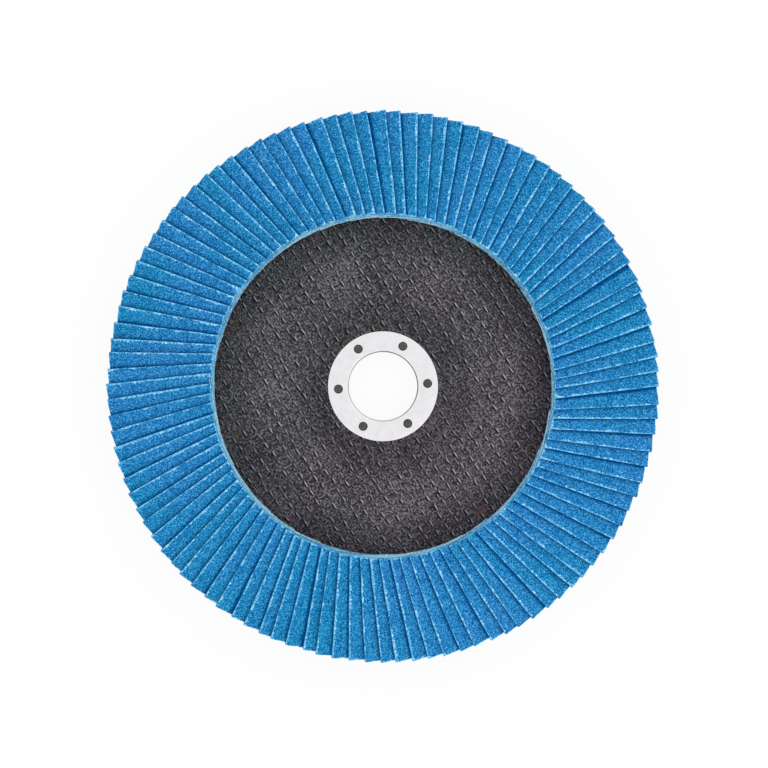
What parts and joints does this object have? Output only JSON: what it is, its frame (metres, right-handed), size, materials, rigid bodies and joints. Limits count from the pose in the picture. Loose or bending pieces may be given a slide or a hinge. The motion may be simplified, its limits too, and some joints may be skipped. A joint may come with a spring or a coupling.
{
  "type": "flap disc",
  "caption": "Conical flap disc for an angle grinder: lapped abrasive cloth flaps glued on a fibre plate with a steel-ringed bore.",
  "frame": {"origin": "on the bore axis, in the back face of the hub, where the grinder's flange seats", "axes": "+Z along the bore axis towards the abrasive side; X and Y in the plane of the hub's back face"},
  "size_m": [0.179, 0.179, 0.0176],
  "materials": {
    "abrasive_cloth": "coarse blue grain on cloth",
    "fibre_plate": "dark resin over open glass-fibre mesh",
    "ring_steel": "bright zinc-plated sheet",
    "adhesive": "cured dark epoxy"
  },
  "bodies": {
    "root": {"backing_plate": "fibre_plate", "bore_ring": "ring_steel", "adhesive_bed": "adhesive", "flap_pair_01": "abrasive_cloth", "flap_pair_02": "abrasive_cloth", "flap_pair_03": "abrasive_cloth", "flap_pair_04": "abrasive_cloth", "flap_pair_05": "abrasive_cloth", "flap_pair_06": "abrasive_cloth", "flap_pair_07": "abrasive_cloth", "flap_pair_08": "abrasive_cloth", "flap_pair_09": "abrasive_cloth", "flap_pair_10": "abrasive_cloth", "flap_pair_11": "abrasive_cloth", "flap_pair_12": "abrasive_cloth", "flap_pair_13": "abrasive_cloth", "flap_pair_14": "abrasive_cloth", "flap_pair_15": "abrasive_cloth", "flap_pair_16": "abrasive_cloth", "flap_pair_17": "abrasive_cloth", "flap_pair_18": "abrasive_cloth", "flap_pair_19": "abrasive_cloth", "flap_pair_20": "abrasive_cloth", "flap_pair_21": "abrasive_cloth", "flap_pair_22": "abrasive_cloth", "flap_pair_23": "abrasive_cloth", "flap_pair_24": "abrasive_cloth", "flap_pair_25": "abrasive_cloth", "flap_pair_26": "abrasive_cloth", "flap_pair_27": "abrasive_cloth", "flap_pair_28": "abrasive_cloth", "flap_pair_29": "abrasive_cloth", "flap_pair_30": "abrasive_cloth", "flap_pair_31": "abrasive_cloth", "flap_pair_32": "abrasive_cloth", "flap_pair_33": "abrasive_cloth", "flap_pair_34": "abrasive_cloth", "flap_pair_35": "abrasive_cloth", "flap_pair_36": "abrasive_cloth", "flap_pair_37": "abrasive_cloth", "flap_pair_38": "abrasive_cloth", "flap_pair_39": "abrasive_cloth", "flap_pair_40": "abrasive_cloth", "flap_pair_41": "abrasive_cloth", "flap_pair_42": "abrasive_cloth", "flap_pair_43": "abrasive_cloth", "flap_pair_44": "abrasive_cloth", "flap_pair_45": "abrasive_cloth", "flap_pair_46": "abrasive_cloth", "flap_pair_47": "abrasive_cloth", "flap_pair_48": "abrasive_cloth", "flap_pair_49": "abrasive_cloth", "flap_pair_50": "abrasive_cloth", "flap_pair_51": "abrasive_cloth", "flap_pair_52": "abrasive_cloth", "flap_pair_53": "abrasive_cloth", "flap_pair_54": "abrasive_cloth"}
  },
  "joints": []
}
